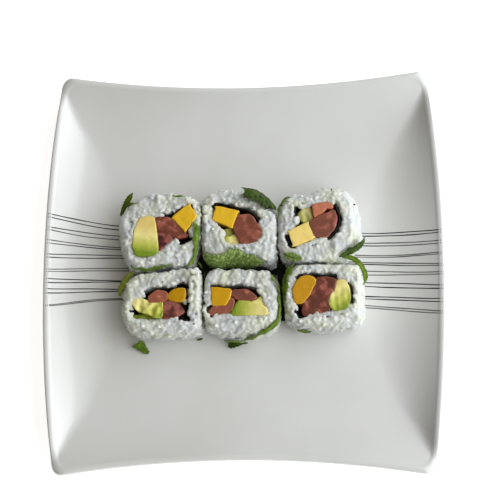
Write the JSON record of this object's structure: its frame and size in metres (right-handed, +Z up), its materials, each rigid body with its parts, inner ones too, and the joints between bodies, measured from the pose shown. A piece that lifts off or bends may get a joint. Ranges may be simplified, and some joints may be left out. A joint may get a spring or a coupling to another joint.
{
  "type": "plate of uramaki roll",
  "caption": "Square glazed plate with raised curved sides, holding pieces of inside-out sushi roll with the cut side up and mint leaves tucked round them.",
  "frame": {"origin": "middle of the plate, at the level its foot stands on", "axes": "+Z up, +Y towards the far side of the plate, +X towards its right side"},
  "size_m": [0.2498, 0.2538, 0.0374],
  "materials": {
    "porcelain": "gloss",
    "rice": "satin, moist",
    "seaweed": "satin",
    "avocado": "satin, moist",
    "tuna": "satin, moist",
    "mango": "satin, moist",
    "mint_leaf": "satin"
  },
  "bodies": {
    "root": {"leaf_between_1_2": "mint_leaf", "leaf_between_1_4": "mint_leaf", "leaf_between_2_3": "mint_leaf", "leaf_corner_short": "mint_leaf", "leaf_corner_tall": "mint_leaf", "leaf_crumb": "mint_leaf", "leaf_far_bit": "mint_leaf", "leaf_folded": "mint_leaf", "leaf_gap_lower": "mint_leaf", "leaf_gap_upper": "mint_leaf", "leaf_left_edge": "mint_leaf", "leaf_left_of_6": "mint_leaf", "leaf_near_bit": "mint_leaf", "leaf_netted": "mint_leaf", "leaf_pale": "mint_leaf", "leaf_right_edge": "mint_leaf", "leaf_right_of_5": "mint_leaf", "leaf_right_tip": "mint_leaf", "leaf_scrap": "mint_leaf", "leaf_tip_near": "mint_leaf", "plate": "porcelain", "roll_1_avocado": "avocado", "roll_1_mango": "mango", "roll_1_rice": "rice", "roll_1_seaweed": "seaweed", "roll_1_tuna_1": "tuna", "roll_1_tuna_2": "tuna", "roll_2_avocado_1": "avocado", "roll_2_avocado_2": "avocado", "roll_2_mango": "mango", "roll_2_rice": "rice", "roll_2_seaweed": "seaweed", "roll_2_tuna": "tuna", "roll_3_avocado": "avocado", "roll_3_mango": "mango", "roll_3_rice": "rice", "roll_3_seaweed": "seaweed", "roll_3_tuna_1": "tuna", "roll_3_tuna_2": "tuna", "roll_4_avocado_1": "avocado", "roll_4_avocado_2": "avocado", "roll_4_mango": "mango", "roll_4_rice": "rice", "roll_4_seaweed": "seaweed", "roll_4_tuna_1": "tuna", "roll_4_tuna_2": "tuna", "roll_5_avocado_1": "avocado", "roll_5_avocado_2": "avocado", "roll_5_mango": "mango", "roll_5_rice": "rice", "roll_5_seaweed": "seaweed", "roll_5_tuna_1": "tuna", "roll_5_tuna_2": "tuna", "roll_6_avocado": "avocado", "roll_6_mango": "mango", "roll_6_rice": "rice", "roll_6_seaweed": "seaweed", "roll_6_tuna": "tuna"}
  },
  "joints": []
}
